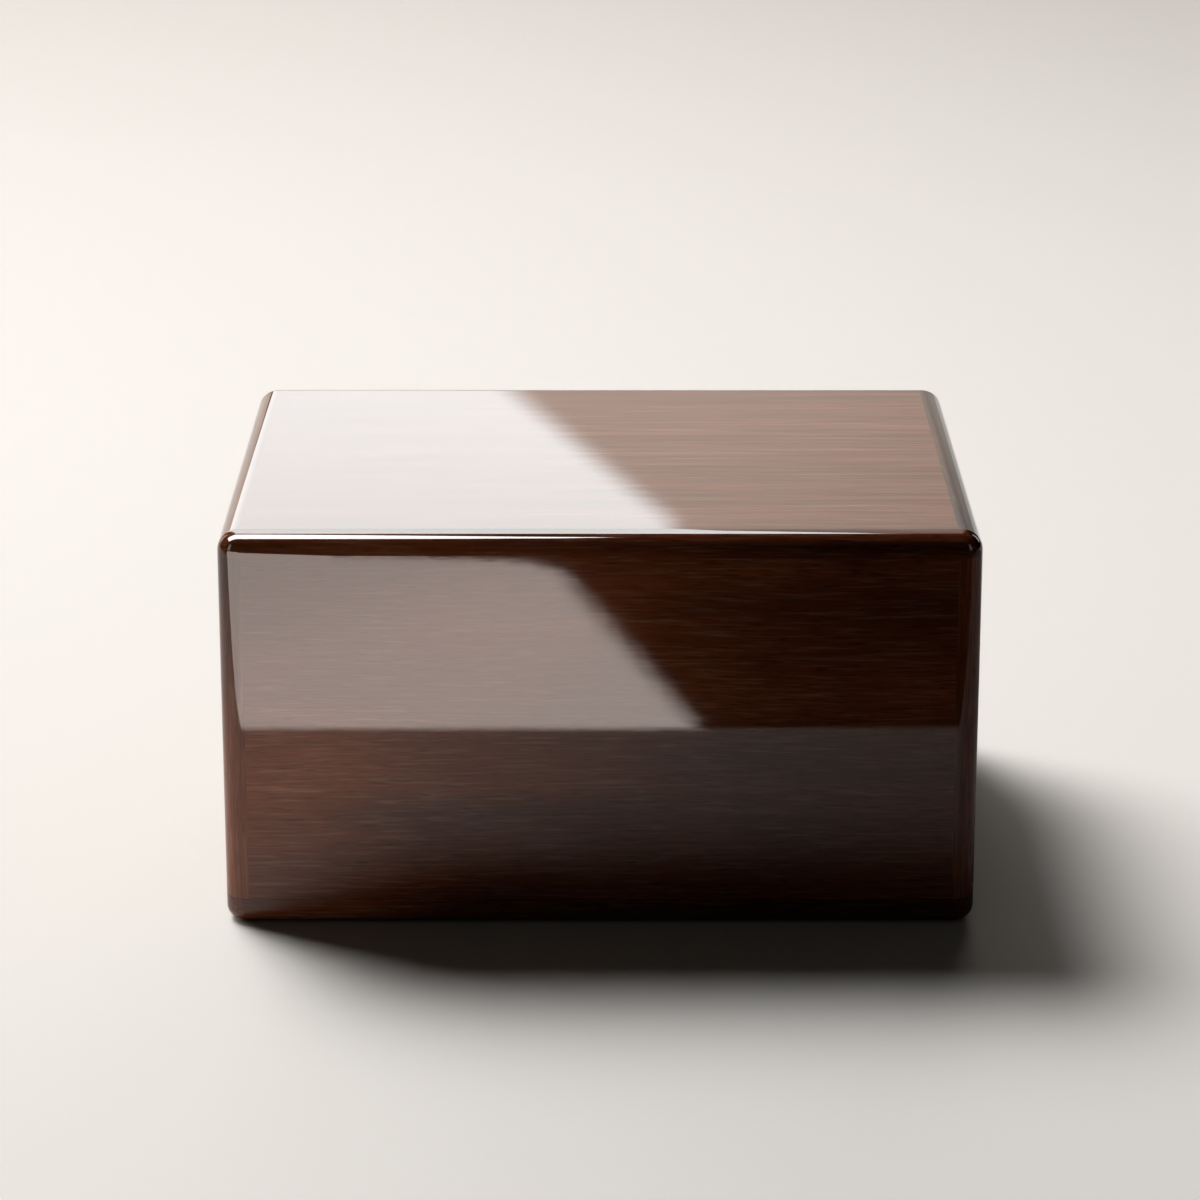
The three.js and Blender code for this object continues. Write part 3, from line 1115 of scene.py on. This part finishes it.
def add_back_cards():
    """The soft box and the wall behind the chest, each with a higher part, which the top mirrors."""
    soft_card(
        "back_softbox", on_y, BACK_CARD_Y,
        bright=[(-0.62, 0.29), (-0.25, 0.37), (-0.131, 0.37), (0.034, 0.509), (0.042, 0.62), (-0.70, 0.62)],
        faded=[(-0.63, 0.28), (-0.25, 0.36), (-0.107, 0.36), (0.060, 0.503), (0.064, 0.63), (-0.71, 0.63)],
        radiance=(2.9, 3.14, 3.16),
    )
    soft_card(
        "high_softbox", on_y, HIGH_CARD_Y,
        bright=[(-0.70, 0.60), (0.042, 0.60), (0.080, 1.27), (0.125, 1.61), (0.195, 2.18), (0.26, 2.77),
                (0.33, 3.54), (-0.90, 3.54), (-0.80, 2.18), (-0.75, 1.27)],
        faded=[(-0.71, 0.59), (0.064, 0.59), (0.096, 1.27), (0.140, 1.61), (0.215, 2.18), (0.29, 2.77),
               (0.37, 3.58), (-0.95, 3.58), (-0.82, 2.18), (-0.77, 1.27)],
        radiance=(2.95, 3.10, 3.08),
        gains=(1, 1, 2.3, 2.8, 3.5, 3.9, 4.2, 4.2, 3.5, 2.3),
    )
    soft_card(
        "back_wall", on_y, BACK_WALL_Y,
        bright=[(-4.0, 0.0), (0.35, 0.0), (0.30, 0.35), (0.0, 0.62), (0.0, 0.95), (-0.2, 0.95),
                (-0.35, 0.45), (-4.0, 0.45)],
        faded=[(-4.1, -0.1), (1.25, -0.1), (1.2, 0.45), (1.1, 0.68), (1.1, 0.97), (-0.3, 0.97),
               (-0.4, 0.52), (-4.1, 0.52)],
        radiance=(0.97, 0.95, 0.87),
    )
    soft_card(
        "high_wall", on_y, HIGH_WALL_Y,
        bright=[(-0.2, 0.90), (0.14, 0.90), (0.20, 1.87), (0.26, 2.6), (0.4, 6.3), (-0.2, 6.3),
                (-0.2, 2.6)],
        faded=[(-0.3, 0.88), (1.0, 0.88), (1.1, 1.87), (1.2, 2.6), (1.4, 6.5), (-0.3, 6.5), (-0.3, 2.6)],
        radiance=(0.97, 0.86, 0.76),
        gains=(1, 1, 1.3, 1.6, 2.0, 2.0, 1.6),
    )


def add_front_cards():
    """Soft boxes above and in front, and shades over the floor, which the front and the edges mirror."""
    soft_card(
        "top_softbox", on_z, TOP_CARD_Z,
        bright=[(-2.0, 0.40), (-0.275, 0.30), (-0.202, 0.17), (-0.121, -0.03), (-0.065, -0.16),
                (-0.032, -0.21), (-0.005, -0.26), (0.002, -0.30), (-0.008, -0.345), (-0.036, -0.45),
                (-0.125, -0.55), (-0.2, -0.60), (-2.0, -0.63)],
        faded=[(-2.1, 0.41), (-0.27, 0.312), (-0.195, 0.182), (-0.113, -0.018), (-0.056, -0.148),
               (-0.023, -0.198), (0.006, -0.245), (0.018, -0.30), (0.003, -0.357), (-0.028, -0.462),
               (-0.12, -0.562), (-0.198, -0.612), (-2.1, -0.642)],
        radiance=(25.0, 25.0, 25.0),
    )
    soft_card(
        "low_softbox", on_y, LOW_CARD_Y,
        bright=[(-1.8, 0.20), (-0.225, 0.20), (-0.158, -0.1285), (-0.073, -0.1315), (-0.061, -0.132),
                (-0.045, -0.1345), (-0.030, -0.140), (-0.025, -0.151), (0.047, -0.2354), (0.35, -0.6),
                (-1.8, -0.6)],
        faded=[(-1.81, 0.21), (-0.215, 0.21), (-0.154, -0.1275), (-0.068, -0.130), (-0.055, -0.1305),
               (-0.037, -0.1315), (-0.018, -0.136), (-0.004, -0.147), (0.070, -0.2354), (0.37, -0.61),
               (-1.81, -0.61)],
        radiance=LOW_GLOW,
        gains=(0.83, 0.83, 0.85, 0.91, 0.92, 0.94, 0.97, 0.98, 1.0, 1.0, 0.80),
    )
    soft_card(
        "low_softbox_edge", on_z, SPLIT_CARD_Z,
        bright=along_split(-0.3, 0.034, SPLIT_LAP, 0.0),
        faded=along_split(-0.31, 0.048, SPLIT_FADED_LAP, SPLIT_BLUR),
        radiance=LOW_GLOW,
        gains=(0.81, 1.0, 1.0, 0.81),
    )
    soft_card(
        "front_shade", on_z, SHADE_CARD_Z,
        bright=along_split(0.045, 1.5, SPLIT_LAP, 0.0),
        faded=along_split(0.034, 1.6, SPLIT_FADED_LAP, SPLIT_BLUR),
        radiance=NO_GLOW,
    )
    soft_card(
        "right_shade", on_z, SHADE_CARD_Z,
        bright=[(0.40, -0.32), (1.5, -0.32), (1.5, 0.12), (0.17, 0.12), (0.17, 0.0)],
        faded=[(-0.12, FLOOR_SPLIT_Y), (1.7, FLOOR_SPLIT_Y), (1.7, 0.4), (0.10, 0.4), (0.10, 0.0)],
        radiance=NO_GLOW,
        cover=SHADE_COVER,
    )


def add_side_cards():
    """Four soft boxes off the corners, which the top mirrors when the chest is seen cornerwise."""
    for end, side_x in (("left", -1), ("right", 1)):
        for face, side_y in (("front", -1), ("back", 1)):
            bright = [(0.75, 0.35), (1.25, 0.35), (1.25, 1.2), (0.95, 1.2)]
            faded = [(0.70, 0.32), (1.30, 0.32), (1.30, 1.3), (0.90, 1.3)]
            soft_card(
                f"side_softbox_{face}_{end}", on_x, SIDE_CARD_X * side_x,
                bright=[(side_y * y, z) for y, z in bright],
                faded=[(side_y * y, z) for y, z in faded],
                radiance=DIM_SIDE_GLOW if (face, end) == ("front", "right") else SIDE_GLOW,
            )


def add_floor(studio):
    """A pale floor in two parts: the lacquer mirrors the part round the chest, not the apron in front."""
    material, tree, shader = principled("pale_floor")
    matt = {"Base Color": (*studio.floor_colour, 1), "Roughness": 1.0, "Specular IOR Level": 0.0}
    feed(tree, shader, matt)
    parts = []
    spans = {"floor": (FLOOR_SPLIT_Y, FLOOR_REACH), "floor_apron": (-FLOOR_REACH, FLOOR_SPLIT_Y)}
    for name, (low, high) in spans.items():
        outline = [(-FLOOR_REACH, low), (FLOOR_REACH, low), (FLOOR_REACH, high), (-FLOOR_REACH, high)]
        mesh = bpy.data.meshes.new(name)
        mesh.from_pydata(on_z(0.0, outline), [], [range(len(outline))])
        mesh.materials.append(material)
        part = linked_object(name, mesh)
        part.visible_glossy = part.visible_diffuse = name == "floor"
        parts.append(part)
    return parts


def add_lamp(name, values):
    """An area light that points at its aim and shows neither to the camera nor in the lacquer."""
    lamp = bpy.data.lights.new(name, "AREA")
    lamp.shape = "ELLIPSE"
    lamp.size, lamp.size_y = values.size
    lamp.energy = values.power
    lamp.spread = values.spread
    lamp.color = values.colour
    holder = linked_object(name, lamp)
    holder.location = values.place
    from_aim = values.place - values.aim
    holder.rotation_euler = from_aim.to_track_quat("Z", "Y").to_euler()
    holder.rotation_euler.rotate_axis("Z", values.slant)
    holder.visible_camera = False
    holder.visible_glossy = False
    return holder


def add_lamps(scene, floor_parts):
    """The soft lights: a large round key, a low rim far behind and small fills that spare the floor."""
    add_lamp("key_light", scene.urn_key)
    add_lamp("rim_light", scene.urn_rim).data.shape = "RECTANGLE"
    spared = bpy.data.collections.new("spared_by_fills")
    for part in floor_parts:
        spared.objects.link(part)
    for member in spared.collection_objects:
        member.light_linking.link_state = "EXCLUDE"
    fills = {
        "slanted_fill_light": scene.urn_slanted_fill,
        "upper_fill_light": scene.urn_upper_fill,
        "left_fill_light": scene.urn_left_fill,
    }
    for name, values in fills.items():
        add_lamp(name, values).light_linking.receiver_collection = spared


def add_camera(studio):
    """The camera, square on to the front and looking down."""
    lens = bpy.data.cameras.new("camera")
    lens.lens = studio.camera_lens
    camera = linked_object("camera", lens)
    camera.location = studio.camera_place
    camera.rotation_euler = (math.pi / 2 - studio.camera_fall, 0, 0)
    bpy.context.scene.camera = camera


def add_backdrop(scene, studio):
    """A surround that is pale to the camera and gives a dim even light."""
    world = bpy.data.worlds.new("pale_surround")
    world.use_nodes = True
    tree = world.node_tree
    straight = add_node(tree, "ShaderNodeLightPath").outputs["Is Camera Ray"]
    brightness = {"Value": straight, "To Min": studio.surround}
    strength = add_node(tree, "ShaderNodeMapRange", brightness).outputs[0]
    feed(tree, tree.nodes["Background"], {"Color": (*studio.surround_colour, 1), "Strength": strength})
    scene.world = world
    world.cycles_visibility.glossy = False


class URN_OT_stage(bpy.types.Operator):
    """Make the floor, the lights, the cards, the surround and the camera"""

    bl_idname = "urn_chest.stage"
    bl_label = "Stage"

    def execute(self, context):
        studio = context.scene.urn_studio
        add_camera(studio)
        floor_parts = add_floor(studio)
        add_lamps(context.scene, floor_parts)
        add_back_cards()
        add_front_cards()
        add_side_cards()
        add_backdrop(context.scene, studio)
        context.scene.view_settings.view_transform = "Standard"
        return {"FINISHED"}


class URN_PT_sidebar(bpy.types.Panel):
    """Lists the chest's sizes, its finish, the studio, the lamps and the operators"""

    bl_idname = "URN_PT_sidebar"
    bl_label = "Urn chest"
    bl_space_type = "VIEW_3D"
    bl_region_type = "UI"
    bl_category = "Urn chest"

    def draw(self, context):
        for group_name, group in GROUPS.items():
            column = self.layout.column()
            for name in group.__annotations__:
                column.prop(getattr(context.scene, group_name), name)
        for operator in OPERATORS:
            self.layout.operator(operator.bl_idname)


GROUPS = {
    "urn_sizes": ChestSizes,
    "urn_finish": ChestFinish,
    "urn_studio": StudioSetup,
    "urn_key": KeyLight,
    "urn_rim": RimLight,
    "urn_slanted_fill": SlantedFill,
    "urn_upper_fill": UpperFill,
    "urn_left_fill": LeftFill,
}
OPERATORS = (URN_OT_panels, URN_OT_edge_strips, URN_OT_base_board, URN_OT_base_screws, URN_OT_stage)


def register():
    for name, group in GROUPS.items():
        bpy.utils.register_class(group)
        setattr(bpy.types.Scene, name, PointerProperty(type=group))
    for kind in (*OPERATORS, URN_PT_sidebar):
        bpy.utils.register_class(kind)


def unregister():
    for kind in reversed((*OPERATORS, URN_PT_sidebar)):
        bpy.utils.unregister_class(kind)
    for name, group in GROUPS.items():
        delattr(bpy.types.Scene, name)
        bpy.utils.unregister_class(group)


def main():
    register()
    bpy.ops.urn_chest.panels()
    bpy.ops.urn_chest.edge_strips()
    bpy.ops.urn_chest.base_board()
    bpy.ops.urn_chest.base_screws()
    bpy.ops.urn_chest.stage()


if __name__ == "__main__":
    main()
